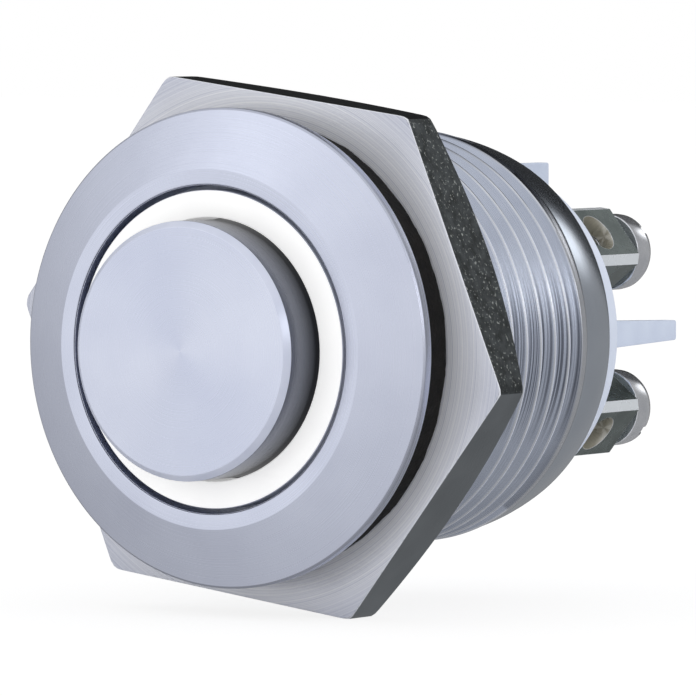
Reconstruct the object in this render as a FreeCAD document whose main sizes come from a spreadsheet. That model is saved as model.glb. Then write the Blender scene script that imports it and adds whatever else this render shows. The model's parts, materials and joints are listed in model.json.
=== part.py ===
import FreeCAD, Part
import os
import re
import Sketcher

# Raised round push button with a lit ring, for a 16 mm panel hole. The button's axis is Y.
# The origin is on that axis at the back face of the flange, the front looks to -Y, and Z is up.

SIZES = {
    # Flange and threaded barrel, turned as one piece
    "barrel_radius": 8.0,
    "barrel_wall": 1.45,
    "barrel_length": 14.93,
    "barrel_end_length": 1.73,
    "barrel_end_taper": 0.75,
    "flange_reach": 1.0,
    "flange_thick": 1.5,
    "flange_slope": 1.03,
    "flange_break": 0.08,
    "rim_lip": 0.42,
    "rim_land": 0.6,
    "rim_bore_depth": 1.1,
    # Gasket and nut behind the flange
    "gasket_reach": 0.6,
    "gasket_thick": 1.8,
    "gasket_round": 0.2,
    "barrel_play": 0.06,
    "nut_wall": 1.5,
    "nut_thick": 2.45,
    "nut_back_bevel": 0.85,
    "nut_front_bevel": 0.3,
    "nut_bore_bevel": 0.35,
    "nut_turn": 52.3,
    # Button cap, its travel and its seal
    "cap_rise": 1.79,
    "cap_bevel": 0.17,
    "cap_wall": 0.94,
    "cap_front_wall": 1.0,
    "cap_stop_lip": 0.46,
    "cap_stop_thick": 0.75,
    "travel": 1.5,
    "slide_play": 0.08,
    "stop_play": 0.05,
    "seal_wire": 0.52,
    "seal_proud": 0.04,
    "seal_place": 1.6,
    # Lit ring
    "ring_width": 1.29,
    "ring_recess": 0.15,
    "ring_play": 0.06,
    "ring_gap": 0.17,
    "ring_collar": 3.95,
    "ring_stop_room": 0.25,
    # Plunger with its springs and clip
    "plunger_step": 0.4,
    "plunger_flange_thick": 0.6,
    "stem_share": 0.29,
    "spigot_radius": 0.8,
    "spigot_nose": 0.3,
    "return_wire": 0.45,
    "return_coil_share": 0.382,
    "return_pitch": 1.4,
    "contact_wire": 0.2,
    "contact_coil_gap": 0.45,
    "contact_pitch": 0.6,
    "contact_spring_room": 1.37,
    "clip_reach": 0.6,
    "clip_thick": 0.33,
    "clip_groove": 0.2,
    "clip_mouth": 1.0,
    # Carrier that guides the plunger and holds the light board
    "carrier_floor": 1.2,
    "carrier_clearance": 1.07,
    "carrier_boss_rise": 0.5,
    "carrier_well_share": 0.458,
    "carrier_boss_share": 0.603,
    "carrier_chamber_share": 0.794,
    "carrier_play": 0.1,
    "board_share": 0.4555,
    "board_thick": 0.6,
    "lamp_side": 1.0,
    "lamp_height": 0.6,
    "lamp_gap": 0.2,
    "lamp_inset": 0.8,
    "resistor_length": 1.2,
    "resistor_width": 0.62,
    "resistor_height": 0.4,
    "resistor_gap": 0.45,
    # Base with its seal
    "base_lip": 0.25,
    "base_length": 1.74,
    "base_bevel": 0.15,
    "base_neck": 1.43,
    "base_play": 0.05,
    "base_well": 1.7,
    "base_well_room": 0.7,
    "base_seal_wire": 0.28,
    # Fixed contacts and the moving bridge
    "strip_thick": 0.4,
    "strip_below": 0.78,
    "strip_above": 1.32,
    "strip_past": 1.46,
    "strip_toe": 0.9,
    "strip_corner": 1.2,
    "tip_radius": 0.6,
    "tip_thick": 0.3,
    "tip_above": 0.32,
    "bridge_width": 2.4,
    "bridge_margin": 0.2,
    "bridge_thick": 0.35,
    "bridge_tip_thick": 0.25,
    "bridge_stroke": 0.9,
    "contact_play": 0.03,
    # Screw terminals
    "post_side": 2.8,
    "post_bevel": 0.3,
    "post_end_bevel": 0.4,
    "post_length": 3.7,
    "post_inset": 1.55,
    "post_turn": 38.0,
    "post_shank": 0.7,
    "wire_hole_radius": 0.8,
    "wire_hole_place": 1.35,
    "screw_radius": 0.75,
    "screw_play": 0.03,
    "screw_head_radius": 1.5,
    "screw_head_height": 1.3,
    "screw_dome": 0.5,
    "screw_slot": 0.4,
    "screw_slot_depth": 0.55,
    # Lamp pins
    "pin_thick": 0.5,
    "pin_root": 1.1,
    "pin_tip": 0.78,
    "top_pin_tip": 1.0,
    "pin_tail": 0.7,
    "pin_reach": 5.35,
    "pin_bed": 0.7,
    "pin_point": 0.06,
    "pin_inset": 0.6,
    "top_pin_inset": 0.26,
    "top_pin_tail_inset": 0.35,
    "pin_groove_play": 0.1,
}

# Radii, widths and places along the axis that follow from the sizes
FOLLOWING = {
    # Radii and widths
    "bore": "barrel_radius - barrel_wall",
    "barrel_end_radius": "barrel_radius - barrel_end_taper",
    "flange_radius": "barrel_radius + flange_reach",
    "rim_inner": "bore - rim_lip",
    "rim_outer": "rim_inner + rim_land",
    "gasket_radius": "barrel_radius + gasket_reach",
    "nut_flats": "2 * (barrel_radius + nut_wall)",
    "nut_corner": "nut_flats / sqrt(3)",
    "cap_radius": "rim_inner - ring_width",
    "cap_bore": "cap_radius - cap_wall",
    "cap_stop_radius": "cap_radius + cap_stop_lip",
    "seal_ring": "cap_radius + seal_proud - seal_wire / 2",
    "ring_skirt_bore": "cap_stop_radius + ring_stop_room",
    "plunger_flange_radius": "cap_stop_radius - plunger_step",
    "stem_radius": "bore * stem_share",
    "return_coil_radius": "bore * return_coil_share",
    "contact_coil_radius": "spigot_radius + contact_coil_gap",
    "clip_radius": "spigot_radius + clip_reach",
    "carrier_well": "bore * carrier_well_share",
    "carrier_boss": "bore * carrier_boss_share",
    "carrier_chamber": "bore * carrier_chamber_share",
    "lamp_place": "bore - lamp_inset",
    "resistor_place": "carrier_boss + resistor_gap",
    "base_radius": "bore + base_lip",
    "base_seal_ring": "bore - base_seal_wire / 2",
    "side_pin_place": "bore - pin_inset",
    "top_pin_edge": "base_radius - top_pin_inset",
    "top_pin_tail_edge": "bore - top_pin_tail_inset",
    "post_ring": "bore - post_inset",
    "post_x": "post_ring * cos(post_turn * 1 deg)",
    "post_z": "post_ring * sin(post_turn * 1 deg)",
    "strip_inner": "post_z - strip_below",
    "strip_outer": "post_z + strip_above",
    "strip_heel": "post_x + strip_past",
    "tip_place": "post_z + tip_above",
    "bridge_half": "tip_place + tip_radius + bridge_margin",
    # Places along the axis, from the front
    "rim": "-flange_thick",
    "cap_front": "rim - cap_rise",
    "rim_shoulder": "rim + rim_bore_depth",
    "thread_end": "barrel_length - barrel_end_length",
    "nut_front": "gasket_thick",
    "nut_back": "gasket_thick + nut_thick",
    "ring_front": "rim + ring_recess",
    "ring_stop": "ring_front + ring_collar",
    "cap_stop": "ring_stop + stop_play",
    "cap_back": "cap_stop + cap_stop_thick",
    "seal_centre": "rim + seal_place",
    "stem_front": "cap_back + plunger_flange_thick",
    "board_front": "barrel_length * board_share",
    "ring_back": "board_front - lamp_height - lamp_gap",
    "board_back": "board_front + board_thick",
    "carrier_front": "board_front - carrier_boss_rise",
    # Places along the axis, from the back
    "base_front": "barrel_length - base_neck",
    "base_back": "barrel_length + base_length",
    "base_seal_centre": "barrel_length - base_neck / 2",
    "strip_front": "base_front - strip_thick",
    "tip_front": "strip_front - tip_thick",
    "bridge_tip_back": "tip_front - bridge_stroke - contact_play",
    "bridge_back": "bridge_tip_back - bridge_tip_thick",
    "bridge_front": "bridge_back - bridge_thick",
    "clip_front": "bridge_back + stop_play",
    "clip_back": "clip_front + clip_thick",
    "spigot_end": "clip_back + spigot_nose",
    "base_well_depth": "spigot_end + travel + base_well_room - base_front",
    "stem_end": "bridge_front - contact_spring_room",
    "carrier_back": "bridge_front - carrier_clearance",
    "carrier_seat": "carrier_back - carrier_floor",
    "blade_front": "base_back - pin_bed",
    "pin_end": "base_back + pin_reach",
    "post_back": "base_back + post_length",
    "screw_end": "base_back + wire_hole_place + wire_hole_radius",
}

doc = FreeCAD.newDocument("push_button")
sheet = doc.addObject("Spreadsheet::Sheet", "Sizes")
for row, (alias, value) in enumerate((SIZES | FOLLOWING).items(), start=1):
    sheet.set(f"A{row}", alias)
    sheet.set(f"B{row}", f"={value}")
    sheet.setAlias(f"B{row}", alias)
doc.recompute()

parts = {}


def formula(text):
    """Turn the names of sizes in a formula into references to the sheet."""
    names = SIZES | FOLLOWING
    return re.sub(r"[a-z_]+", lambda word: "Sizes." + word[0] if word[0] in names else word[0], text)


def bind(item, prop, text):
    item.setExpression(prop, formula(text))


def new_body(name):
    body = doc.addObject("PartDesign::Body", name)
    body.Label = name
    parts[name] = body
    return body


def sketch_on(body, name, role, offset="0"):
    sketch = body.newObject("Sketcher::SketchObject", name)
    plane = next(item for item in body.Origin.OriginFeatures if item.Role == role)
    sketch.AttachmentSupport = [(plane, "")]
    sketch.MapMode = "FlatFace"
    bind(sketch, ".AttachmentOffset.Base.z", offset)
    return sketch


def fix_point(sketch, curve, end, across, up):
    """Hold one point of a sketch at two formulas, measured from the sketch's origin."""
    for kind, text in (("DistanceX", across), ("DistanceY", up)):
        index = sketch.addConstraint(Sketcher.Constraint(kind, -1, 1, curve, end, 1.0))
        bind(sketch, f"Constraints[{index}]", text)


def outline(body, name, points, role="XY_Plane", offset="0"):
    """Draw a closed outline whose corners are formulas."""
    sketch = sketch_on(body, name, role, offset)
    count = len(points)
    start = Part.makeCircle(1).discretize(count + 1)
    for index in range(count):
        sketch.addGeometry(Part.LineSegment(start[index], start[index + 1]))
    for index in range(count):
        joined = Sketcher.Constraint("Coincident", index, 2, (index + 1) % count, 1)
        sketch.addConstraint(joined)
    for index, (across, up) in enumerate(points):
        fix_point(sketch, index, 1, across, up)
    return sketch


def circle(body, name, across, up, radius, role="XZ_Plane", offset="0"):
    sketch = sketch_on(body, name, role, offset)
    sketch.addGeometry(Part.Circle(FreeCAD.Vector(1, 1, 0), FreeCAD.Vector(0, 0, 1), 1))
    fix_point(sketch, 0, 3, across, up)
    index = sketch.addConstraint(Sketcher.Constraint("Radius", 0, 1.0))
    bind(sketch, f"Constraints[{index}]", radius)
    return sketch


def revolve(body, name, points, kind="Revolution"):
    """Turn a closed outline of radius and place along the axis about the button's axis."""
    sketch = outline(body, name + "_outline", points)
    feature = body.newObject("PartDesign::" + kind, name)
    feature.Profile = sketch
    feature.ReferenceAxis = (sketch, ["V_Axis"])
    feature.Angle = 360
    return feature


def turned(name, points):
    body = new_body(name)
    revolve(body, name + "_turned", points)
    return body


def extrude(body, name, sketch, length, kind="Pad", midplane=False):
    """Raise or cut a sketch towards the back, or evenly about its plane."""
    feature = body.newObject("PartDesign::" + kind, name)
    feature.Profile = sketch
    bind(feature, "Length", length)
    feature.Midplane = midplane
    feature.Reversed = kind == "Pad" and not midplane
    return feature


def block(name, x_low, x_high, z_low, z_high, front, length):
    """Make a block between two places across, two places up, and from its front backwards."""
    body = new_body(name)
    corners = [(x_low, z_low), (x_high, z_low), (x_high, z_high), (x_low, z_high)]
    sketch = outline(body, name + "_outline", corners, "XZ_Plane", f"-({front})")
    extrude(body, name + "_pad", sketch, length)
    return body


def seal(name, radius, wire, place):
    """Make a rubber ring about the button's axis, its round section drawn with four flats."""
    return turned(name, [
        (f"{radius} - {wire} / 2", place),
        (radius, f"{place} - {wire} / 2"),
        (f"{radius} + {wire} / 2", place),
        (radius, f"{place} + {wire} / 2"),
    ])


def coil(name, radius, wire, front, back, pitch):
    """Make a compression spring between two seats, a little clear of both, its wire drawn with four flats."""
    body = new_body(name)
    middle = f"{front} + {wire} / 2 + stop_play"
    section = outline(body, name + "_wire", [
        (f"{radius} - {wire} / 2", middle),
        (radius, f"{middle} - {wire} / 2"),
        (f"{radius} + {wire} / 2", middle),
        (radius, f"{middle} + {wire} / 2"),
    ])
    helix = body.newObject("PartDesign::AdditiveHelix", name + "_helix")
    helix.Profile = section
    helix.ReferenceAxis = (section, ["V_Axis"])
    helix.Mode = "height-turns-angle"
    height = f"({back} - {front} - {wire} - 2 * stop_play)"
    bind(helix, "Height", height)
    bind(helix, "Turns", f"{height} / {pitch}")
    return body


# Flange and barrel, one turned piece of stainless steel
housing = turned("housing_barrel", [
    ("rim_inner", "rim"),
    ("rim_outer", "rim"),
    ("flange_radius - flange_break", "rim + flange_slope"),
    ("flange_radius", "rim + flange_slope + flange_break"),
    ("flange_radius", "0"),
    ("barrel_radius", "0"),
    ("barrel_radius", "thread_end"),
    ("barrel_end_radius", "barrel_length"),
    ("bore", "barrel_length"),
    ("bore", "rim_shoulder"),
    ("rim_inner", "rim_shoulder"),
])

# Rubber gasket against the back of the flange
turned("panel_gasket", [
    ("barrel_radius + barrel_play", "0"),
    ("gasket_radius - gasket_round", "0"),
    ("gasket_radius", "gasket_round"),
    ("gasket_radius", "gasket_thick - gasket_round"),
    ("gasket_radius - gasket_round", "gasket_thick"),
    ("barrel_radius + barrel_play", "gasket_thick"),
])

# Hexagonal nut, bevelled at 30 degrees on its back face and lightly on its front
nut = new_body("panel_nut")
hexagon = [
    ("nut_corner", "0"),
    ("nut_corner / 2", "nut_flats / 2"),
    ("-nut_corner / 2", "nut_flats / 2"),
    ("-nut_corner", "0"),
    ("-nut_corner / 2", "-nut_flats / 2"),
    ("nut_corner / 2", "-nut_flats / 2"),
]
extrude(nut, "nut_blank", outline(nut, "nut_hexagon", hexagon, "XZ_Plane", "-(nut_front)"), "nut_thick")
revolve(nut, "nut_back_cut", [
    ("nut_corner - nut_back_bevel * sqrt(3)", "nut_back"),
    ("nut_corner", "nut_back - nut_back_bevel"),
    ("nut_corner * 2", "nut_back - nut_back_bevel"),
    ("nut_corner * 2", "nut_back * 2"),
    ("nut_corner - nut_back_bevel * sqrt(3)", "nut_back * 2"),
], "Groove")
revolve(nut, "nut_front_cut", [
    ("nut_corner - nut_front_bevel * sqrt(3)", "nut_front"),
    ("nut_corner", "nut_front + nut_front_bevel"),
    ("nut_corner * 2", "nut_front + nut_front_bevel"),
    ("nut_corner * 2", "0"),
    ("nut_corner - nut_front_bevel * sqrt(3)", "0"),
], "Groove")
revolve(nut, "nut_bore_cut", [
    ("0", "nut_front"),
    ("barrel_radius + barrel_play + nut_bore_bevel", "nut_front"),
    ("barrel_radius + barrel_play", "nut_front + nut_bore_bevel"),
    ("barrel_radius + barrel_play", "nut_back - nut_bore_bevel"),
    ("barrel_radius + barrel_play + nut_bore_bevel", "nut_back"),
    ("0", "nut_back"),
], "Groove")
nut.Placement = FreeCAD.Placement(
    FreeCAD.Vector(), FreeCAD.Rotation(FreeCAD.Vector(0, -1, 0), SIZES["nut_turn"]))

# Clear plastic ring that carries the light to the front
turned("light_ring", [
    ("cap_radius + slide_play", "ring_front"),
    ("rim_inner - ring_gap", "ring_front"),
    ("rim_inner - ring_gap", "rim_shoulder"),
    ("bore - ring_play", "rim_shoulder"),
    ("bore - ring_play", "ring_back"),
    ("ring_skirt_bore", "ring_back"),
    ("ring_skirt_bore", "ring_stop"),
    ("cap_radius + slide_play", "ring_stop"),
])

# Button cap, a turned steel cup with a stop collar at its back and a groove for its seal
cap = turned("button_cap", [
    ("0", "cap_front"),
    ("cap_radius - cap_bevel", "cap_front"),
    ("cap_radius", "cap_front + cap_bevel"),
    ("cap_radius", "cap_stop"),
    ("cap_stop_radius", "cap_stop"),
    ("cap_stop_radius", "cap_back"),
    ("cap_bore", "cap_back"),
    ("cap_bore", "cap_front + cap_front_wall"),
    ("0", "cap_front + cap_front_wall"),
])
revolve(cap, "seal_groove", [
    ("cap_radius + seal_proud - seal_wire", "seal_centre - seal_wire / 2 - stop_play"),
    ("cap_radius * 2", "seal_centre - seal_wire / 2 - stop_play"),
    ("cap_radius * 2", "seal_centre + seal_wire / 2 + stop_play"),
    ("cap_radius + seal_proud - seal_wire", "seal_centre + seal_wire / 2 + stop_play"),
], "Groove")
seal("cap_seal", "seal_ring", "seal_wire", "seal_centre")

# Plastic plunger pressed into the cap, with a stem and a spigot for the contact bridge
turned("plunger", [
    ("0", "cap_front + cap_front_wall + stop_play"),
    ("cap_bore - stop_play", "cap_front + cap_front_wall + stop_play"),
    ("cap_bore - stop_play", "cap_back"),
    ("plunger_flange_radius", "cap_back"),
    ("plunger_flange_radius", "stem_front"),
    ("stem_radius", "stem_front"),
    ("stem_radius", "stem_end"),
    ("spigot_radius", "stem_end"),
    ("spigot_radius", "clip_front"),
    ("spigot_radius - clip_groove", "clip_front"),
    ("spigot_radius - clip_groove", "clip_back"),
    ("spigot_radius", "clip_back"),
    ("spigot_radius", "spigot_end"),
    ("0", "spigot_end"),
])

# Open clip in the spigot's groove, which keeps the bridge on
clip = turned("retaining_clip", [
    ("spigot_radius - clip_groove", "clip_front"),
    ("clip_radius", "clip_front"),
    ("clip_radius", "clip_back"),
    ("spigot_radius - clip_groove", "clip_back"),
])
mouth = [
    ("0", "-clip_mouth / 2"),
    ("clip_radius + clip_reach", "-clip_mouth / 2"),
    ("clip_radius + clip_reach", "clip_mouth / 2"),
    ("0", "clip_mouth / 2"),
]
extrude(clip, "clip_opening", outline(clip, "clip_mouth_outline", mouth, "XZ_Plane", "-(clip_front)"),
        "clip_thick", "Pocket")

coil("return_spring", "return_coil_radius", "return_wire", "stem_front", "carrier_seat", "return_pitch")
coil("contact_spring", "contact_coil_radius", "contact_wire", "stem_end", "bridge_front", "contact_pitch")

# Insulating carrier: guides the stem, seats the return spring and the light board
carrier = turned("inner_carrier", [
    ("stem_radius + slide_play", "carrier_seat"),
    ("carrier_well", "carrier_seat"),
    ("carrier_well", "carrier_front"),
    ("carrier_boss", "carrier_front"),
    ("carrier_boss", "board_back"),
    ("bore - carrier_play", "board_back"),
    ("bore - carrier_play", "strip_front"),
    ("carrier_chamber", "strip_front"),
    ("carrier_chamber", "carrier_back"),
    ("stem_radius + slide_play", "carrier_back"),
])
side_groove = [
    ("side_pin_place - pin_thick / 2 - pin_groove_play", "-pin_tail / 2 - pin_groove_play"),
    ("barrel_radius", "-pin_tail / 2 - pin_groove_play"),
    ("barrel_radius", "pin_tail / 2 + pin_groove_play"),
    ("side_pin_place - pin_thick / 2 - pin_groove_play", "pin_tail / 2 + pin_groove_play"),
]
top_groove = [
    ("-pin_thick / 2 - pin_groove_play", "top_pin_tail_edge - pin_tail - pin_groove_play"),
    ("pin_thick / 2 + pin_groove_play", "top_pin_tail_edge - pin_tail - pin_groove_play"),
    ("pin_thick / 2 + pin_groove_play", "barrel_radius"),
    ("-pin_thick / 2 - pin_groove_play", "barrel_radius"),
]
for label, corners in (("side", side_groove), ("top", top_groove)):
    groove = outline(carrier, label + "_groove_outline", corners, "XZ_Plane", "-(board_back)")
    extrude(carrier, label + "_groove", groove, "strip_front - board_back", "Pocket")

# Round light board with four lamps and a resistor on its front
turned("light_board", [
    ("carrier_boss + carrier_play", "board_front"),
    ("bore - carrier_play", "board_front"),
    ("bore - carrier_play", "board_back"),
    ("carrier_boss + carrier_play", "board_back"),
])
LAMP_ANGLES = {"lamp_upper_right": 45, "lamp_upper_left": 135, "lamp_lower_left": 225, "lamp_lower_right": 315}
for label, angle in LAMP_ANGLES.items():
    lamp = block(
        label, "lamp_place - lamp_side / 2", "lamp_place + lamp_side / 2", "-lamp_side / 2", "lamp_side / 2",
        "board_front - lamp_height", "lamp_height")
    lamp.Placement = FreeCAD.Placement(FreeCAD.Vector(), FreeCAD.Rotation(FreeCAD.Vector(0, -1, 0), angle))
block("lamp_resistor", "-resistor_length / 2", "resistor_length / 2",
      "-resistor_place - resistor_width", "-resistor_place",
      "board_front - resistor_height", "resistor_height")

# Moulded base: a neck inside the barrel and a collar behind it
base = turned("rear_base", [
    ("0", "base_front + base_well_depth"),
    ("base_well", "base_front + base_well_depth"),
    ("base_well", "base_front"),
    ("bore - base_play", "base_front"),
    ("bore - base_play", "barrel_length"),
    ("base_radius", "barrel_length"),
    ("base_radius", "base_back - base_bevel"),
    ("base_radius - base_bevel", "base_back"),
    ("0", "base_back"),
])
revolve(base, "base_seal_groove", [
    ("bore - base_seal_wire", "base_seal_centre - base_seal_wire / 2 - stop_play"),
    ("barrel_radius", "base_seal_centre - base_seal_wire / 2 - stop_play"),
    ("barrel_radius", "base_seal_centre + base_seal_wire / 2 + stop_play"),
    ("bore - base_seal_wire", "base_seal_centre + base_seal_wire / 2 + stop_play"),
], "Groove")
seal("base_seal", "base_seal_ring", "base_seal_wire", "base_seal_centre")

# Lamp pins: a slim tail up to the board and a blade behind the base
side_pin = new_body("lamp_pin_side")
side_blade = [
    ("board_back", "-pin_tail / 2"),
    ("blade_front", "-pin_tail / 2"),
    ("blade_front", "-pin_root / 2"),
    ("base_back", "-pin_root / 2"),
    ("pin_end - pin_point", "-pin_tip / 2"),
    ("pin_end", "-pin_tip / 2 + pin_point"),
    ("pin_end", "pin_tip / 2 - pin_point"),
    ("pin_end - pin_point", "pin_tip / 2"),
    ("base_back", "pin_root / 2"),
    ("blade_front", "pin_root / 2"),
    ("blade_front", "pin_tail / 2"),
    ("board_back", "pin_tail / 2"),
]
extrude(side_pin, "side_blade", outline(side_pin, "side_blade_outline", side_blade, "YZ_Plane", "side_pin_place"),
        "pin_thick", midplane=True)
top_pin = new_body("lamp_pin_top")
top_blade = [
    ("board_back", "top_pin_tail_edge - pin_tail"),
    ("blade_front", "top_pin_tail_edge - pin_tail"),
    ("blade_front", "top_pin_edge - pin_root"),
    ("base_back", "top_pin_edge - pin_root"),
    ("pin_end - pin_point", "top_pin_edge - top_pin_tip"),
    ("pin_end", "top_pin_edge - top_pin_tip + pin_point"),
    ("pin_end", "top_pin_edge - pin_point"),
    ("pin_end - pin_point", "top_pin_edge"),
    ("blade_front", "top_pin_edge"),
    ("blade_front", "top_pin_tail_edge"),
    ("board_back", "top_pin_tail_edge"),
]
extrude(top_pin, "top_blade", outline(top_pin, "top_blade_outline", top_blade, "YZ_Plane"),
        "pin_thick", midplane=True)

# Slots in the base that the pins stand in
side_tail = [
    ("side_pin_place - pin_thick / 2", "-pin_tail / 2"),
    ("side_pin_place + pin_thick / 2", "-pin_tail / 2"),
    ("side_pin_place + pin_thick / 2", "pin_tail / 2"),
    ("side_pin_place - pin_thick / 2", "pin_tail / 2"),
]
side_root = [(across, up.replace("pin_tail", "pin_root")) for across, up in side_tail]
top_tail = [
    ("-pin_thick / 2", "top_pin_tail_edge - pin_tail"),
    ("pin_thick / 2", "top_pin_tail_edge - pin_tail"),
    ("pin_thick / 2", "top_pin_tail_edge"),
    ("-pin_thick / 2", "top_pin_tail_edge"),
]
top_root = [
    ("-pin_thick / 2", "top_pin_edge - pin_root"),
    ("pin_thick / 2", "top_pin_edge - pin_root"),
    ("pin_thick / 2", "top_pin_edge"),
    ("-pin_thick / 2", "top_pin_edge"),
]
SLOTS = [
    ("side_tail_slot", side_tail, "base_front", "blade_front - base_front"),
    ("side_root_slot", side_root, "blade_front", "pin_bed"),
    ("top_tail_slot", top_tail, "base_front", "blade_front - base_front"),
    ("top_root_slot", top_root, "blade_front", "pin_bed"),
]
for label, corners, front, depth in SLOTS:
    slot = outline(base, label + "_outline", corners, "XZ_Plane", f"-({front})")
    extrude(base, label, slot, depth, "Pocket")

# Fixed contacts, screw terminals and their holes in the base, above and below the middle
SIDES = {"upper": "", "lower": "-"}
for side, sign in SIDES.items():
    shank_hole = circle(base, f"{side}_shank_hole_outline", "post_x", sign + "post_z", "post_shank",
                        "XZ_Plane", "-(base_front)")
    extrude(base, f"{side}_shank_hole", shank_hole, "base_back - base_front", "Pocket")

    strip = new_body(f"contact_strip_{side}")
    corners = [
        ("-strip_toe", f"{sign}strip_inner"),
        ("strip_heel", f"{sign}strip_inner"),
        ("strip_heel", f"{sign}(strip_outer + strip_inner) / 2"),
        ("strip_heel - strip_corner", f"{sign}strip_outer"),
        ("-strip_toe", f"{sign}strip_outer"),
    ]
    blank = outline(strip, f"{side}_strip_outline", corners, "XZ_Plane", "-(strip_front)")
    extrude(strip, f"{side}_strip", blank, "strip_thick")
    rivet_hole = circle(strip, f"{side}_rivet_outline", "post_x", sign + "post_z", "post_shank",
                        "XZ_Plane", "-(strip_front)")
    extrude(strip, f"{side}_rivet_hole", rivet_hole, "strip_thick", "Pocket")

    for label, front, thick in (("fixed_tip", "tip_front", "tip_thick"),
                                ("bridge_tip", "bridge_back", "bridge_tip_thick")):
        tip = new_body(f"{label}_{side}")
        disc = circle(tip, f"{label}_{side}_outline", "0", f"{sign}tip_place", "tip_radius",
                      "XZ_Plane", f"-({front})")
        extrude(tip, f"{label}_{side}_pad", disc, thick)

    # The post is drawn on the button's axis towards +X and then turned to its place.
    turn = SIZES["post_turn"] if side == "upper" else -SIZES["post_turn"]
    placed = FreeCAD.Placement(FreeCAD.Vector(), FreeCAD.Rotation(FreeCAD.Vector(0, -1, 0), turn))
    post = new_body(f"terminal_post_{side}")
    half = "post_side / 2"
    corners = [
        (f"post_ring - {half}", f"-{half} + post_bevel"),
        (f"post_ring - {half} + post_bevel", f"-{half}"),
        (f"post_ring + {half} - post_bevel", f"-{half}"),
        (f"post_ring + {half}", f"-{half} + post_bevel"),
        (f"post_ring + {half}", f"{half} - post_bevel"),
        (f"post_ring + {half} - post_bevel", f"{half}"),
        (f"post_ring - {half} + post_bevel", f"{half}"),
        (f"post_ring - {half}", f"{half} - post_bevel"),
    ]
    blank = outline(post, f"{side}_post_outline", corners, "XZ_Plane", "-(base_back)")
    extrude(post, f"{side}_post_pad", blank, "post_length")
    foot = circle(post, f"{side}_foot_outline", "post_ring", "0", "post_shank", "XZ_Plane", "-(strip_front)")
    extrude(post, f"{side}_foot", foot, "base_back - strip_front")
    tap = circle(post, f"{side}_tap_outline", "post_ring", "0", "screw_radius + screw_play",
                 "XZ_Plane", "-(base_back + wire_hole_place)")
    extrude(post, f"{side}_tap", tap, "post_length - wire_hole_place", "Pocket")
    wire_hole = circle(post, f"{side}_wire_outline", "base_back + wire_hole_place", "0", "wire_hole_radius",
                       "YZ_Plane", "post_ring")
    extrude(post, f"{side}_wire_hole", wire_hole, "post_side", "Pocket", midplane=True)
    doc.recompute()
    end_edges = [
        f"Edge{index}" for index, edge in enumerate(post.Shape.Edges, start=1)
        if len(edge.Vertexes) == 2
        and abs(edge.BoundBox.YMin - post.Shape.BoundBox.YMax) < 1e-6]
    base_feature = post.Tip
    bevel = post.newObject("PartDesign::Chamfer", f"{side}_end_bevel")
    bevel.Base = (base_feature, end_edges)
    bind(bevel, "Size", "post_end_bevel")
    post.Placement = placed

    screw = new_body(f"terminal_screw_{side}")
    head = circle(screw, f"{side}_head_outline", "post_ring", "0", "screw_head_radius",
                  "XZ_Plane", "-(post_back)")
    extrude(screw, f"{side}_head", head, "screw_head_height")
    shank = circle(screw, f"{side}_shank_outline", "post_ring", "0", "screw_radius",
                   "XZ_Plane", "-(screw_end)")
    extrude(screw, f"{side}_shank", shank, "post_back - screw_end")
    slot_corners = [
        ("post_ring - screw_head_radius * 2", "-screw_slot / 2"),
        ("post_ring + screw_head_radius * 2", "-screw_slot / 2"),
        ("post_ring + screw_head_radius * 2", "screw_slot / 2"),
        ("post_ring - screw_head_radius * 2", "screw_slot / 2"),
    ]
    slot = outline(screw, f"{side}_slot_outline", slot_corners, "XZ_Plane",
                   "-(post_back + screw_head_height - screw_slot_depth)")
    doc.recompute()
    rim_edge = max(enumerate(screw.Shape.Edges, start=1), key=lambda item: item[1].BoundBox.YMin)
    base_feature = screw.Tip
    dome = screw.newObject("PartDesign::Chamfer", f"{side}_dome")
    dome.Base = (base_feature, [f"Edge{rim_edge[0]}"])
    bind(dome, "Size", "screw_dome")
    extrude(screw, f"{side}_slot", slot, "screw_slot_depth", "Pocket")
    screw.Placement = placed

# Bridge that joins the two fixed contacts when the button is down
bridge = block("contact_bridge", "-bridge_width / 2", "bridge_width / 2", "-bridge_half", "bridge_half",
               "bridge_front", "bridge_thick")
spigot_hole = circle(bridge, "spigot_hole_outline", "0", "0", "spigot_radius + slide_play",
                     "XZ_Plane", "-(bridge_front)")
extrude(bridge, "spigot_hole", spigot_hole, "bridge_thick", "Pocket")

doc.recompute()

for item in doc.Objects:
    if "Invalid" in item.State or "Error" in item.State:
        raise SystemExit(f"{item.Label} did not build: {item.State}")
for name, item in parts.items():
    if item.Shape.isNull() or not item.Shape.isValid():
        raise SystemExit(f"{name} has no valid shape")

os.makedirs("parts", exist_ok=True)
for name, item in parts.items():
    item.Shape.exportStep(f"parts/{name}.step")
    print(f"{name:24s} {item.Shape.Volume:9.3f} mm3  {len(item.Shape.Solids)} solid")
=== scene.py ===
import json
import math

import bmesh
import bpy
from mathutils import Matrix, Vector, noise


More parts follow.
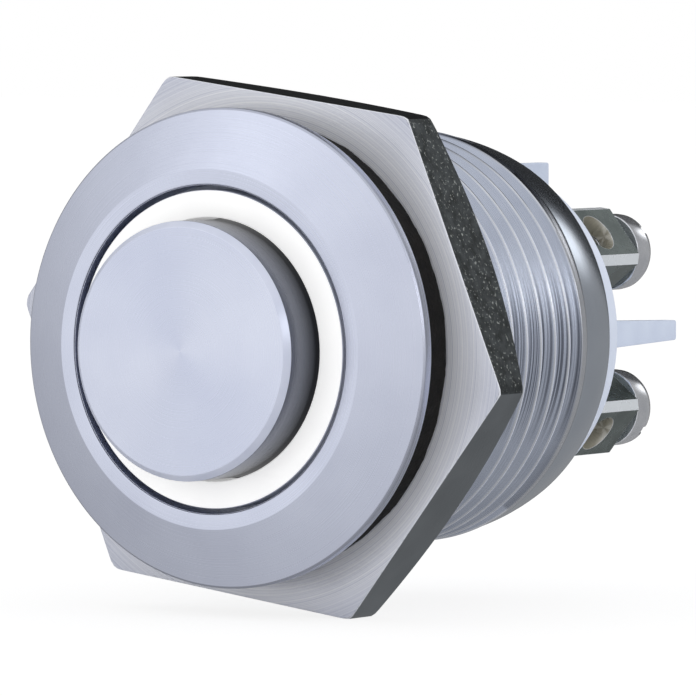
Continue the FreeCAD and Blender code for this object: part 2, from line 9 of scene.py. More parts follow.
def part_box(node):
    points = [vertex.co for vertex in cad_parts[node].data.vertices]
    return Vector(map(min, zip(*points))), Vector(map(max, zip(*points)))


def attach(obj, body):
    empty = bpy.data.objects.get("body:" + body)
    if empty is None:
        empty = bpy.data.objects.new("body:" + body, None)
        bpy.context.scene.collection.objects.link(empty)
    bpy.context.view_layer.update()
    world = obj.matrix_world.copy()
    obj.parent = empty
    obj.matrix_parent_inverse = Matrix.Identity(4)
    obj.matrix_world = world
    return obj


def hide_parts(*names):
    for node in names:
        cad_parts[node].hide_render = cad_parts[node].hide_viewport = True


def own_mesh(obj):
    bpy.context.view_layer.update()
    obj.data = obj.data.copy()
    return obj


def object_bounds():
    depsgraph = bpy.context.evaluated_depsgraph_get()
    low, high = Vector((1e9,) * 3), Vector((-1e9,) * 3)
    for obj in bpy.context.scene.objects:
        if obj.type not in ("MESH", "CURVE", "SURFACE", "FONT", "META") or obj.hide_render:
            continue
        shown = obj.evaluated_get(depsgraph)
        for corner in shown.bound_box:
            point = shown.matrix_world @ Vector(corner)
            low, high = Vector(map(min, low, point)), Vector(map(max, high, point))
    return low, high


# Push button dressed for its picture. The axis is Y, the front looks to -Y, and Z is up, in metres.

MM = 0.001
FULL_TURN = 2 * math.pi

# Camera, as worked out from the photograph
PHOTO_SIDE = 696
SENSOR = 36.0
CAMERA_AZIMUTH = math.radians(33.7)
CAMERA_ELEVATION = math.radians(2.75)
CAMERA_DISTANCE = 267 * MM
CAMERA_CLIP = (0.01, 10.0)
PIXELS_PER_MM = 26.84
RIM_PIXEL = (207.5, 349.6)

# Floor, room and lamps, in metres and watts
FLOOR_REACH = 1.2
FLOOR_GAP = 0.02 * MM
FLOOR_GLOW = 1.06
FLOOR_GLOW_SHARE = 0.8
ROOM_LEVEL = 0.38
ROOM_LEAST = 0.3
ROOM_SLOPE = (-0.2, -0.62, 0.2)
CARDS = {
    "dark": {"way": (-0.42, 0.84, 0.343), "edges": (0.855, 0.9), "level": -0.28},
    "bright": {"way": (0.2, 0.91, 0.363), "edges": (0.98, 0.999), "level": 0.75},
}
LAMPS = {
    "key_lamp": {"place": (-0.22, -0.30, 0.34), "width": 0.22, "power": 0.04},
    "side_lamp": {"place": (0.38, -0.24, 0.12), "width": 0.12, "power": 0.08},
    "back_lamp": {"place": (0.09, 0.42, 0.17), "width": 0.1, "power": 0.012},
}

# Where looks change: from one radius, or one place along the axis, to another, in millimetres
# The first span is where painted shade darkens the cap's side; the second, where the nut's face is painted
# lighter towards the gasket; the third, where the thread's painted crest highlight and shade begin.
CAP_SHADE_SPAN = (-3.1, -1.5)
NUT_FACE_LIGHT_SPAN = (9.0, 10.8)
CREST_LIGHT_SPAN = (7.93, 7.99)

# Where looks change by the way a surface faces, as the share that faces up or along the axis
CREST_SHADE = (0.5, 0.68)
# These two place painted shade on the nut's flats: dark and speckled as they look up, darkest on top.
NUT_UPPER_SHADE = (-0.3, 0.1)
NUT_TOP_SHADE = (0.8, 0.95)
NUT_FACE = (0.25, 0.6)
CAP_ACROSS = (0.66, 0.35)

# Where looks change round the axis, and what share of a pattern shows
# The first angle places the cap's painted highlight fan; the next angle, count and share place painted shade
# in three sectors of the thread's grooves.
SHEEN_FAN_ANGLE = math.radians(202)
THREAD_SHADE_ANGLE = math.radians(-4)
THREAD_SHADE_LOBES = 3
THREAD_SHADE_SHARE = (0.6, 0.95)
STREAK_SHARE = (0.42, 0.58)
SPECK_SHARE = (0.6, 0.7)
TURNED_SHARE = (0.35, 0.95)
# The chamfer share places the posts' painted highlight on their chamfers.
CHAMFER_SHARE = (-0.6, 0.4)
WAVE_SPAN = (-1.0, 1.0)
NOISE_SPAN = (0.3, 0.7)
WHOLE = (0.0, 1.0)

# How finely the pieces are made, in metres and angles
SEGMENTS = 256
NUT_SEGMENTS = 360
ROUND_STEPS = 5
NOSE_STEPS = 12
MERGE_REACH = 1e-7
SLIVER = 1e-8
SHARP_ANGLE = math.radians(32)
THREAD_SHARP_ANGLE = math.radians(40)
NUT_SHARP_ANGLE = math.radians(28)

# Roundings that many turned edges share, in millimetres
FINE = 0.02
SOFT = 0.05
BROAD = 0.1

# Thread: one turn of its outline as (share of the pitch, share of the depth)
THREAD_PITCH = 1.0 * MM
THREAD_DEPTH = 0.5 * MM
THREAD_RUNOUT = 0.4 * MM
THREAD_CREST_PLACE = 11.19 * MM
THREAD_SPARE_TURNS = 3
THREAD_PROFILE = [
    (0.00, 0.00), (0.04, 0.00), (0.08, 0.08), (0.40, 0.86), (0.45, 0.97), (0.52, 1.00),
    (0.60, 0.97), (0.65, 0.86), (0.96, 0.08),
]

# Bezel and barrel, in millimetres
BARREL = 8.0
BORE = 6.55
BORE_SKIN = 0.1
# Crest faces within this depth of the crest get the painted highlight and shade.
CREST_SHINE = 0.012
THREAD_START = 0.05
THREAD_STOP = 12.4
NOSE_GAP = 0.1
NOSE_RADIUS = 7.93
NOSE_SLOPES = (math.tan(math.radians(3)), math.tan(math.radians(17)))
RIM_INNER = 6.13
RIM_OUTER = 6.73
RIM_SHOULDER = -0.4
RIM_ROUND = 0.09
CONE_TOP_ROUND = 0.03
CONE_FOOT = -0.47
CONE_FOOT_ROUND = 0.06
FLANGE_BREAK = 0.08
FLANGE_ROUND = 0.08

# Nut, in millimetres
NUT_APOTHEM = 9.5
NUT_SIDE = FULL_TURN / 6
NUT_TURN = math.radians(52.3)
NUT_BORE = 8.06
NUT_BORE_BEVEL = 0.35
NUT_BEVEL_SLOPE = math.tan(math.radians(30))
NUT_BACK_CIRCLE = 9.5
NUT_FRONT_CIRCLE = 10.85
NUT_EDGE = 0.05
NUT_BREAK = 0.02
NUT_CORNER_WEAR = 0.04
NUT_CORNER_ANGLE = math.radians(2)
# Facings of the nut's front edges that get a painted highlight
NUT_EDGE_HIGHLIGHT_FACING = (0.5, 0.97)

# Gasket, in millimetres: its roughness as (width of the grain, depth of the grain)
GASKET_FRONT_ROUND = 0.25
GASKET_BACK_ROUND = 0.3
GASKET_HOLLOW = 0.06
GASKET_GRAIN = ((0.9, 0.04), (0.25, 0.02))
GASKET_LOSS = 0.05

# Lit ring and cap, in millimetres
CAP_RADIUS = 4.84
CAP_BEVEL = 0.23
CAP_BEVEL_FACING = (0.4, 0.95)
CAP_BORE = 3.9
CAP_FRONT_WALL = 1.0
CAP_GROOVE = (-0.16, 0.46)
CAP_GROOVE_RADIUS = 4.36
CAP_STOP_FRONT = 2.65
RING_BORE = 4.92
RING_OUTER = 5.96
RING_ROUND = 0.08
RING_SKIRT_BORE = 5.55
RING_STOP_GAP = 0.05
RING_GAP_SKIN = 0.03
RING_GAP_DEPTH = 0.1

# Wire hole in the posts, and the reach of its warm look past its wall, in millimetres
WIRE_HOLE = 0.8
WIRE_HOLE_WALL = (-0.01, 0.02)

# Terminal screws, in millimetres
SCREW_HEAD = 1.5
SCREW_HEAD_HEIGHT = 1.3
SCREW_HEAD_ROUND = 0.06
SCREW_SHANK = 0.75
SCREW_DOME = 0.62
SCREW_SLOT = 0.4
SCREW_SLOT_DEPTH = 0.55

# Base, in millimetres
BASE_WELL = 1.7
BASE_WELL_DEPTH = 1.0
BASE_NECK = 6.5
BASE_FRONT_ROUND = 0.06
BASE_BACK_ROUND = 0.14

# Bevels of the solids that stay, in millimetres
POST_BEVEL = 0.05
PIN_BEVEL = 0.04
BEVEL_STEPS = 2
BEVEL_ANGLE = math.radians(35)
WELD_REACH = 0.001

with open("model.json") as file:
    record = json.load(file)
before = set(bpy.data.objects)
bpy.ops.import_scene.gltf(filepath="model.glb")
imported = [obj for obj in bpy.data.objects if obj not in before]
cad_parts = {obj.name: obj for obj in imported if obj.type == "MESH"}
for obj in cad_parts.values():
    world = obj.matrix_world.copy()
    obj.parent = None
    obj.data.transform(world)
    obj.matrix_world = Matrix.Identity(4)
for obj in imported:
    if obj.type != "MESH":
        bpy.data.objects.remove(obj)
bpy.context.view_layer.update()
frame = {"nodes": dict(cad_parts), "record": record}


def colour(code):
    """Turn a six-digit colour code into linear red, green, blue and alpha."""
    channels = [int(code[index:index + 2], 16) / 255 for index in (0, 2, 4)]
    linear = [c / 12.92 if c <= 0.04045 else ((c + 0.055) / 1.055) ** 2.4 for c in channels]
    return (*linear, 1.0)


def wire_hole(side):
    """Give the centre of a post's wire hole, in millimetres, and the way it runs, from its mount."""
    mount = next(item for item in frame["record"]["mounts"] if item["name"] == f"{side}_terminal")
    return Vector(mount["pos_m"]) / MM, Vector(mount["axis"])


# Materials

class Nodes:
    """Adds and joins the nodes of one material or world. A value is a socket, a number or a colour code."""

    def __init__(self, tree):
        self.tree = tree

    def feed(self, socket, value):
        if isinstance(value, bpy.types.NodeSocket):
            self.tree.links.new(value, socket)
        else:
            socket.default_value = colour(value) if isinstance(value, str) else value

    def add(self, kind, *values, **named):
        """Add a node, with values for its sockets in their order, and named ones for sockets or settings."""
        node = self.tree.nodes.new(kind)
        for key, value in named.items():
            if key in node.inputs:
                self.feed(node.inputs[key], value)
            else:
                setattr(node, key, value)
        for socket, value in zip(node.inputs, values):
            self.feed(socket, value)
        return node

    def calculate(self, operation, *values):
        return self.add("ShaderNodeMath", *values, operation=operation).outputs[0]

    def dot(self, first, second):
        return self.add("ShaderNodeVectorMath", first, second, operation="DOT_PRODUCT").outputs["Value"]

    def length(self, vector):
        return self.add("ShaderNodeVectorMath", vector, operation="LENGTH").outputs["Value"]

    def split(self, vector):
        return self.add("ShaderNodeSeparateXYZ", vector).outputs

    def spread(self, value, span=NOISE_SPAN, low=0.0, high=1.0, curve="LINEAR"):
        """Give low where a value starts its span and high where it ends it, with a slope between."""
        remap = self.add("ShaderNodeMapRange", value, *span, low, high, interpolation_type=curve)
        return remap.outputs["Result"]

    def blend(self, value, first, second, how="MIX"):
        """Blend two colours, from the first at 0 to the second at 1."""
        mix = self.add("ShaderNodeMix", data_type="RGBA", blend_type=how, Factor=value)
        sockets = [item for item in mix.inputs if item.type == "RGBA"]
        self.feed(sockets[0], first)
        self.feed(sockets[1], second)
        return next(item for item in mix.outputs if item.type == "RGBA")


class Surface(Nodes):
    """The nodes of one material, with patterns in millimetres that lie fixed on its pieces."""

    def __init__(self, name):
        self.material = bpy.data.materials.new(name)
        self.material.use_nodes = True
        super().__init__(self.material.node_tree)
        self.shader = self.tree.nodes["Principled BSDF"]

    def set(self, name, value):
        self.feed(self.shader.inputs[name], value)

    def show(self, shown):
        """Set the colour, and keep it for a tint."""
        self.shown = shown
        self.set("Base Color", shown)

    def tint(self, value, first, second):
        """Multiply the colour by a tint that runs from one to the other."""
        self.show(self.blend(1.0, self.shown, self.blend(value, first, second), "MULTIPLY"))

    def place(self):
        where = self.add("ShaderNodeTexCoord").outputs["Object"]
        return self.add("ShaderNodeVectorMath", where, operation="SCALE", Scale=1 / MM).outputs["Vector"]

    def normal(self):
        return self.add("ShaderNodeTexCoord").outputs["Normal"]

    def along(self):
        """Give the place along the axis."""
        return self.split(self.place())["Y"]

    def radius(self):
        """Give the distance from the axis."""
        flat = self.add("ShaderNodeVectorMath", self.place(), (1, 0, 1), operation="MULTIPLY")
        return self.length(flat.outputs["Vector"])

    def upward(self):
        """Give how far the surface looks up, from -1 to 1."""
        return self.split(self.normal())["Z"]

    def facing(self):
        """Give 0 where the surface faces across the axis and 1 where it faces along it."""
        return self.calculate("ABSOLUTE", self.split(self.normal())["Y"])

    def wave(self, vector, angle, count):
        """Give a wave round the axis, with a count of crests in all and one of them at an angle."""
        parts = self.split(vector)
        around = self.calculate("ARCTAN2", parts["Z"], parts["X"])
        return self.calculate("COSINE", self.calculate("MULTIPLY_ADD", around, count, -count * angle))

    def fan(self, angle, count=2):
        """Give a fan of 0 to 1 round the axis, brightest at one angle."""
        return self.spread(self.wave(self.place(), angle, count), WAVE_SPAN)

    def chamfer(self, angle):
        """Give 0 on the flats of a square bar that is turned by an angle, and 1 on its chamfers."""
        return self.spread(self.wave(self.normal(), angle, count=4), CHAMFER_SHARE, low=1.0, high=0.0)

    def bore(self, centre, way, radius):
        """Give 1 inside a bore and 0 outside it."""
        apart = self.add("ShaderNodeVectorMath", self.place(), centre, operation="SUBTRACT")
        cross = self.add("ShaderNodeVectorMath", apart.outputs["Vector"], way, operation="CROSS_PRODUCT")
        wall = [radius + reach for reach in WIRE_HOLE_WALL]
        return self.spread(self.length(cross.outputs["Vector"]), wall, low=1.0, high=0.0)

    def noise(self, scale, detail):
        return self.add("ShaderNodeTexNoise", Vector=self.place(), Scale=scale, Detail=detail).outputs["Fac"]

    def lines(self, scale, detail):
        """Give the fine round lines of turning, as a noise along radius plus place."""
        way = self.calculate("ADD", self.radius(), self.along())
        texture = self.add("ShaderNodeTexNoise", noise_dimensions="1D", W=way, Scale=scale, Detail=detail)
        return texture.outputs["Fac"]

    def bump(self, height, strength, distance, **below):
        """Give bumps of a distance in millimetres. Others may lie below, as a Normal."""
        node = self.add("ShaderNodeBump", Height=height, Strength=strength, Distance=distance * MM, **below)
        return node.outputs["Normal"]


def turned_metal(name, light, dark, roughness, grain, marks=26.0, mark_depth=0.25, line_share=0.35):
    """Metal with the fine round marks of a lathe and the fan-shaped gloss that they give."""
    surface = Surface(name)
    lines = surface.lines(marks, detail=3.0)
    mixed = surface.calculate("MULTIPLY_ADD", lines, line_share, surface.noise(scale=0.35, detail=3.0))
    surface.show(surface.blend(surface.spread(mixed, TURNED_SHARE), dark, light))
    surface.set("Roughness", surface.spread(lines, low=roughness * 0.85, high=roughness * 1.2))
    surface.set("Metallic", 1.0)
    surface.set("Anisotropic", grain)
    surface.set("Tangent", surface.add("ShaderNodeTangent", direction_type="RADIAL", axis="Y").outputs[0])
    surface.set("Normal", surface.bump(lines, strength=mark_depth, distance=0.01))
    return surface


def thread_metal(name):
    """Thread: satin grooves tinted darker than the crests, with fine dark streaks shown in three sectors
    round the axis as painted shade, and crests painted bright at the sides and dark where they look up
    (painted highlight and painted shade).
    """
    surface = turned_metal(name, "F0F3FA", "D2D6E0", 0.26, 0.5, marks=40.0, mark_depth=0.4, line_share=0.6)
    streaks = surface.spread(surface.lines(scale=7.0, detail=2.0), STREAK_SHARE)
    # Painted shade: the dark streaks show only in three sectors round the axis, one of them at the given
    # angle.
    painted_light = surface.spread(surface.fan(THREAD_SHADE_ANGLE, THREAD_SHADE_LOBES), THREAD_SHADE_SHARE)
    grooves = surface.blend(surface.calculate("MULTIPLY", streaks, painted_light), "CCD1DC", "767A84")
    # Painted highlight and painted shade: the crests are lighter than the grooves, and dark where they look
    # up.
    crests = surface.blend(surface.spread(surface.upward(), CREST_SHADE), "FFFFFF", "6A6E78")
    surface.tint(surface.spread(surface.radius(), CREST_LIGHT_SPAN), grooves, crests)
    return surface.material


def cap_metal(name):
    """Cap: a faint fan of painted highlight on its face, and painted shade that darkens its side towards the
    ring.
    """
    surface = turned_metal(name, "DCE1F1", "D2D7E9", 0.3, 0.7, marks=34.0, mark_depth=0.08)
    # Painted highlight: a faint lighter fan on the face.
    surface.tint(surface.fan(SHEEN_FAN_ANGLE), "F4F5F8", "FFFFFF")
    # Painted shade: the side darkens towards the ring.
    side = surface.spread(surface.facing(), CAP_ACROSS)
    deep = surface.spread(surface.along(), CAP_SHADE_SPAN, low=0.66)
    surface.tint(surface.calculate("MULTIPLY", side, deep), "FFFFFF", "282A2E")
    return surface.material


def plain_metal(name, light, dark, roughness, scale=3.0, depth=0.15, metallic=1.0):
    """Plated or stamped metal with a faintly uneven skin."""
    surface = Surface(name)
    cloud = surface.noise(scale, detail=5.0)
    surface.show(surface.blend(surface.spread(cloud), dark, light))
    surface.set("Roughness", surface.spread(cloud, low=roughness * 0.8, high=roughness * 1.3))
    surface.set("Metallic", metallic)
    skin = surface.noise(scale * 6, detail=4.0)
    surface.set("Normal", surface.bump(skin, strength=depth, distance=0.02))
    return surface.material


def crest_metal(name):
    """Thread crests: painted highlight, bright at the sides, and painted shade where they look up."""
    surface = Surface(name)
    surface.show(surface.blend(surface.spread(surface.upward(), CREST_SHADE), "DFE5F6", "3C4048"))
    surface.set("Metallic", 0.3)
    surface.set("Roughness", 0.3)
    return surface.material


def nut_metal(name):
    """Nut: scratched satin faces painted lighter towards the gasket (painted light), and flats, where the
    surface turns away from the axis, with a grain of pits: painted dark with bright specks where they look
    up and darkest on top, lighter grey where they look down (painted shade and painted glints).
    """
    surface = Surface(name)
    flat = surface.spread(surface.facing(), NUT_FACE)
    lines = surface.lines(scale=18.0, detail=4.0)
    # Painted light: the face is lighter towards the gasket, against the shade the bezel casts there.
    face_light = surface.blend(surface.spread(surface.radius(), NUT_FACE_LIGHT_SPAN), "FBFCFF", "D0D3DE")
    scored = surface.blend(surface.spread(lines), "DDDFE7", "FFFFFF")
    face = surface.blend(1.0, face_light, scored, "MULTIPLY")
    # Painted shade and painted glints: dark patches with bright specks on the upper flats, lighter grey on
    # the lower flats, darker still on top.
    grit = surface.noise(scale=8.0, detail=9.0)
    patches = surface.blend(surface.spread(surface.noise(scale=2.4, detail=5.0)), "383C3D", "62686B")
    speckled_shade = surface.blend(surface.spread(grit, SPECK_SHARE), patches, "D4D8D6")
    smooth = surface.blend(surface.noise(scale=0.5, detail=2.0), "80868C", "A0A6AC")
    side = surface.blend(surface.spread(surface.upward(), NUT_UPPER_SHADE), smooth, speckled_shade)
    side = surface.blend(surface.spread(surface.upward(), NUT_TOP_SHADE), side, "4A4D50")
    surface.show(surface.blend(flat, side, face))
    surface.set("Metallic", surface.spread(flat, WHOLE, low=1.0, high=0.12))
    surface.set("Roughness", surface.spread(flat, WHOLE, low=0.4, high=0.3))
    pits = surface.bump(grit, strength=0.3, distance=0.03)
    surface.set("Normal", surface.bump(lines, strength=0.5, distance=0.01, Normal=pits))
    return surface.material


def post_metal(side):
    """Terminal post: plated flats, chamfers painted pale as a painted highlight, and a warm wire hole."""
    centre, way = wire_hole(side)
    surface = Surface(f"{side}_post_plate")
    cloud = surface.noise(scale=1.0, detail=3.0)
    flats = surface.blend(surface.spread(cloud), "616B6A", "7E8887")
    # Painted highlight: the chamfers are pale.
    painted_light = surface.chamfer(math.atan2(way.z, way.x))
    inside = surface.bore(centre, way, WIRE_HOLE)
    surface.show(surface.blend(inside, surface.blend(painted_light, flats, "DDE2E6"), "C2BCAC"))
    pale = surface.calculate("MAXIMUM", painted_light, inside)
    surface.set("Metallic", surface.spread(pale, WHOLE, low=0.8, high=0.25))
    surface.set("Roughness", surface.spread(cloud, low=0.2, high=0.32))
    skin = surface.noise(scale=9.0, detail=4.0)
    surface.set("Normal", surface.bump(skin, strength=0.1, distance=0.02))
    return surface.material


def satin(name, light, dark, metallic, roughness):
    """Flat pale coat with hardly any marks."""
    surface = Surface(name)
    surface.show(surface.blend(surface.spread(surface.noise(scale=0.8, detail=2.0)), dark, light))
    surface.set("Metallic", metallic)
    surface.set("Roughness", roughness)
    return surface.material


def rubber(name, light, dark):
    """Matt rubber with a coarse skin."""
    surface = Surface(name)
    surface.show(surface.blend(surface.spread(surface.noise(scale=2.2, detail=6.0)), dark, light))
    surface.set("Roughness", 0.72)
    surface.set("Specular IOR Level", 0.3)
    skin = surface.noise(scale=7.0, detail=6.0)
    surface.set("Normal", surface.bump(skin, strength=0.6, distance=0.06))
    return surface.material


def plastic(name, light, dark, roughness=0.38, scale=1.2):
    """Moulded plastic with the faintest unevenness."""
    surface = Surface(name)
    surface.show(surface.blend(surface.spread(surface.noise(scale, detail=3.0)), dark, light))
    surface.set("Roughness", roughness)
    skin = surface.noise(scale=14.0, detail=3.0)
    surface.set("Normal", surface.bump(skin, strength=0.12, distance=0.01))
    return surface.material


def lit_plastic(name, light, dark, strength):
    """White diffuser that glows evenly."""
    surface = Surface(name)
    surface.show(surface.blend(surface.spread(surface.noise(scale=0.6, detail=2.0)), dark, light))
    surface.set("Roughness", 0.3)
    surface.set("Emission Color", "FFFFFF")
    surface.set("Emission Strength", strength)
    return surface.material


# One material for each slot of the record: light tone, dark tone, then what the function asks for
MATERIALS = {
    "steel": turned_metal("turned_steel", "D5DAEB", "CACFE1", roughness=0.3, grain=0.7).material,
    "nut_metal": nut_metal("nut_steel"),
    "rubber": rubber("black_rubber", "161310", "070606"),
    "lit_plastic": lit_plastic("lit_diffuser", "EAEAE9", "E4E4E4", strength=0.37),
    "black_plastic": plastic("black_moulding", "24252A", "17181B"),
    "board": plastic("green_board", "1F6A3C", "185230"),
    "lamp": lit_plastic("lamp_lens", "EAEAE9", "E4E4E4", strength=1.5),
    "base_plastic": plastic("pale_moulding", "DAE2F2", "D2DBEC", roughness=0.34, scale=0.5),
    "pin_metal": satin("tinned_pins", "D6E0F2", "CED8EC", metallic=0.1, roughness=0.4),
    "contact_metal": plain_metal("contact_copper", "D29A66", "B57C48", roughness=0.3),
    "silver": plain_metal("contact_silver", "EDEDEA", "D5D5D2", roughness=0.25),
    "terminal_metal": plain_metal("terminal_plate", "B4BCBC", "8E9898", 0.24, 1.4, depth=0.08, metallic=0.8),
    "screw_metal": plain_metal("screw_plate", "F0F2F7", "E0E3EA", 0.15, 1.4, depth=0.04, metallic=0.88),
    "spring_steel": plain_metal("spring_wire", "B8BABD", "94979B", roughness=0.25),
}

# Materials for some faces of a piece, or for pieces that differ from their slot
THREAD_METAL = thread_metal("thread_steel")
CAP_METAL = cap_metal("cap_steel")
END_METAL = turned_metal("barrel_end_steel", "D8E0EC", "C6CFDC", 0.2, 0.3, 30.0, mark_depth=0.1).material
# Bright material for edges: a painted highlight.
EDGE_HIGHLIGHT = plain_metal("edge_highlight", "F0F2F8", "DCDFE8", 0.3, 5.0, depth=0.1, metallic=0.3)
# Painted highlight and painted shade for the thread's crests.
CREST_LIGHT_AND_SHADE = crest_metal("crest_light_and_shade")
# A brighter copy of the cap's metal: painted highlight for its bevel.
CAP_BEVEL_HIGHLIGHT = satin("cap_bevel_highlight", "DADFF0", "CFD5E8", metallic=0.4, roughness=0.3)
# Grey, unlit plastic on the ring's outer wall: painted shade in its gap to the bezel.
RING_GAP_SHADE = plastic("ring_gap", "C4C8D4", "B6BBC8")
POST_METALS = {side: post_metal(side) for side in ("upper", "lower")}


# Shapes

def rounded(corners):
    """Turn the corners (radius, place, rounding if any) of a closed outline in millimetres into points."""
    points = []
    count = len(corners)
    for index, (radius, place, *rounding) in enumerate(corners):
        here = Vector((radius, place))
        if not rounding:
            points.append(here)
            continue
        before = Vector(corners[index - 1][:2]) - here
        after = Vector(corners[(index + 1) % count][:2]) - here
        turn = math.pi - before.angle(after)
        reach = min(rounding[0] * math.tan(turn / 2), before.length * 0.45, after.length * 0.45)
        first = here + before.normalized() * reach
        last = here + after.normalized() * reach
        for step in range(ROUND_STEPS + 1):
            share = step / ROUND_STEPS
            one = first.lerp(here, share)
            two = here.lerp(last, share)
            points.append(one.lerp(two, share))
    return [(point.x * MM, point.y * MM) for point in points]


def finish_mesh(name, bm, material, sharp=SHARP_ANGLE):
    """Make a clean piece from a mesh, with edges drawn sharp where they turn by more than an angle."""
    bmesh.ops.remove_doubles(bm, verts=bm.verts, dist=MERGE_REACH)
    bmesh.ops.dissolve_degenerate(bm, edges=bm.edges, dist=SLIVER)
    bmesh.ops.recalc_face_normals(bm, faces=bm.faces)
    mesh = bpy.data.meshes.new(name)
    bm.to_mesh(mesh)
    bm.free()
    mesh.shade_smooth()
    mesh.set_sharp_from_angle(angle=sharp)
    piece = bpy.data.objects.new(name, mesh)
    bpy.context.scene.collection.objects.link(piece)
    mesh.materials.append(material)
    return piece


def grid_about_axis(name, columns, material, sharp=SHARP_ANGLE):
    """Join columns of points, one for each angle from the first to a full turn, into a closed skin."""
    bm = bmesh.new()
    rows = [[bm.verts.new(point) for point in column] for column in columns]
    for left, right in zip(rows, rows[1:]):
        for index in range(len(left)):
            following = (index + 1) % len(left)
            bm.faces.new((left[index], left[following], right[following], right[index]))
    return finish_mesh(name, bm, material, sharp)


def on_axis(angle, radius, place):
    return Vector((radius * math.cos(angle), place, radius * math.sin(angle)))


def angles(count=SEGMENTS):
    return [FULL_TURN * index / count for index in range(count + 1)]


def turned(name, corners, material, wobble=None):
    """Turn a closed outline about the axis. A wobble shifts each point's radius a little."""
    outline = rounded(corners)
    columns = []
    for angle in angles():
        column = []
        for radius, place in outline:
            point = on_axis(angle, radius, place)
            if wobble:
                point += on_axis(angle, wobble(point), 0)
            column.append(point)
        columns.append(column)
    return grid_about_axis(name, columns, material)


def paint_faces(piece, material, chosen):
    """Give one more material to faces chosen by radius and place, in millimetres, and by facing."""
    slot = len(piece.data.materials)
    piece.data.materials.append(material)
    for face in piece.data.polygons:
        if chosen(face.center.xz.length / MM, face.center.y / MM, face.normal.y):
            face.material_index = slot


def dress(piece, node, body):
    """Let a piece stand for a solid and ride on its body."""
    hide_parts(node)
    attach(piece, body)
    return piece


def extent(node):
    """Give a solid's largest radius and its first and last place along the axis, in millimetres."""
    low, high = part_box(node)
    return high.x / MM, low.y / MM, high.y / MM


def barrel_nose(first, last):
    """Corners of the smooth end behind the thread, which bends in more and more towards its edge."""
    corners = []
    length = last - first
    start, end = NOSE_SLOPES
    for step in range(NOSE_STEPS + 1):
        share = step / NOSE_STEPS
        drop = length * (start * share + (end - start) * share ** 2 / 2)
        corners.append((NOSE_RADIUS - drop, first + length * share))
    corners[-1] = (*corners[-1], BROAD)
    return corners


def threaded_columns(front, back):
    """Outlines with a helical thread between a front and a back, one for each angle round the axis."""
    radius, start = front[-1]
    stop = back[0][1]
    turns = int((stop - start) / THREAD_PITCH) + THREAD_SPARE_TURNS
    first = THREAD_CREST_PLACE - THREAD_PITCH * (turns - 2)
    columns = []
    for angle in angles():
        outline = list(front)
        for turn in range(turns + 2):
            for share, depth in THREAD_PROFILE:
                place = first + THREAD_PITCH * (turn + share - angle / FULL_TURN)
                place = min(max(place, start), stop)
                room = min(place - start, stop - place) / THREAD_RUNOUT
                fade = min(max(room, 0.0), 1.0)
                outline.append((radius - THREAD_DEPTH * depth * fade, place))
        outline.extend(back)
        columns.append([on_axis(angle, *point) for point in outline])
    return columns


def make_housing():
    """Bezel and threaded barrel: one turned piece with a true helical thread."""
    flange, rim_front, barrel_end = extent("housing_barrel")
    front = rounded([
        (BORE, RIM_SHOULDER, FINE), (RIM_INNER, RIM_SHOULDER, FINE), (RIM_INNER, rim_front, RIM_ROUND),
        (RIM_OUTER, rim_front, CONE_TOP_ROUND), (flange - FLANGE_BREAK, CONE_FOOT, CONE_FOOT_ROUND),
        (flange, CONE_FOOT + FLANGE_BREAK, SOFT), (flange, 0.0, FLANGE_ROUND), (BARREL, 0.0),
    ])
    nose = barrel_nose(THREAD_STOP + NOSE_GAP, barrel_end)
    back = rounded([(BARREL, THREAD_STOP), *nose, (BORE, barrel_end, SOFT)])
    columns = threaded_columns(front, back)
    piece = grid_about_axis("bezel_and_barrel", columns, MATERIALS["steel"], THREAD_SHARP_ANGLE)
    skin = BORE + BORE_SKIN
    crest = BARREL - CREST_SHINE
    start, stop = THREAD_START, THREAD_STOP
    runout = stop - THREAD_RUNOUT / MM
    paint_faces(piece, THREAD_METAL, lambda radius, place, _: radius > skin and start < place < stop)
    paint_faces(piece, END_METAL, lambda radius, place, _: radius > skin and place >= stop)
    # The crests get their painted highlight and painted shade.
    paint_faces(piece, CREST_LIGHT_AND_SHADE, lambda radius, place, _: radius > crest and start < place < runout)
    return dress(piece, "housing_barrel", "housing")


def nut_outline(angle, front, back):
    """Outline of the hexagon at one angle, with its bevels, corners cut back by wear, and bevelled bore."""
    from_corner = (angle - NUT_TURN + NUT_SIDE / 2) % NUT_SIDE - NUT_SIDE / 2
    reach = NUT_APOTHEM / math.cos(NUT_SIDE / 2 - abs(from_corner))
    reach -= NUT_CORNER_WEAR * max(0.0, 1 - abs(from_corner) / NUT_CORNER_ANGLE) ** 2
    mouth = NUT_BORE + NUT_BORE_BEVEL
    back_side = back - max(0.0, reach - NUT_BACK_CIRCLE) * NUT_BEVEL_SLOPE
    front_side = front + max(0.0, reach - NUT_FRONT_CIRCLE) * NUT_BEVEL_SLOPE
    back_face = min(NUT_BACK_CIRCLE, reach)
    front_face = min(NUT_FRONT_CIRCLE, reach - NUT_BREAK)
    return [
        (NUT_BORE, front + NUT_BORE_BEVEL), (mouth - NUT_BREAK, front + NUT_BREAK),
        (mouth + NUT_BREAK, front), (front_face - NUT_EDGE, front), (front_face, front + NUT_BREAK / 2),
        (reach - NUT_EDGE, front_side), (reach, front_side + NUT_EDGE),
        (reach, back_side - NUT_EDGE), (reach - NUT_EDGE, back_side + NUT_EDGE * NUT_BEVEL_SLOPE),
        (back_face, back - NUT_BREAK / 2), (back_face - NUT_EDGE, back),
        (mouth + NUT_BREAK, back), (mouth - NUT_BREAK, back - NUT_BREAK), (NUT_BORE, back - NUT_BORE_BEVEL),
    ]


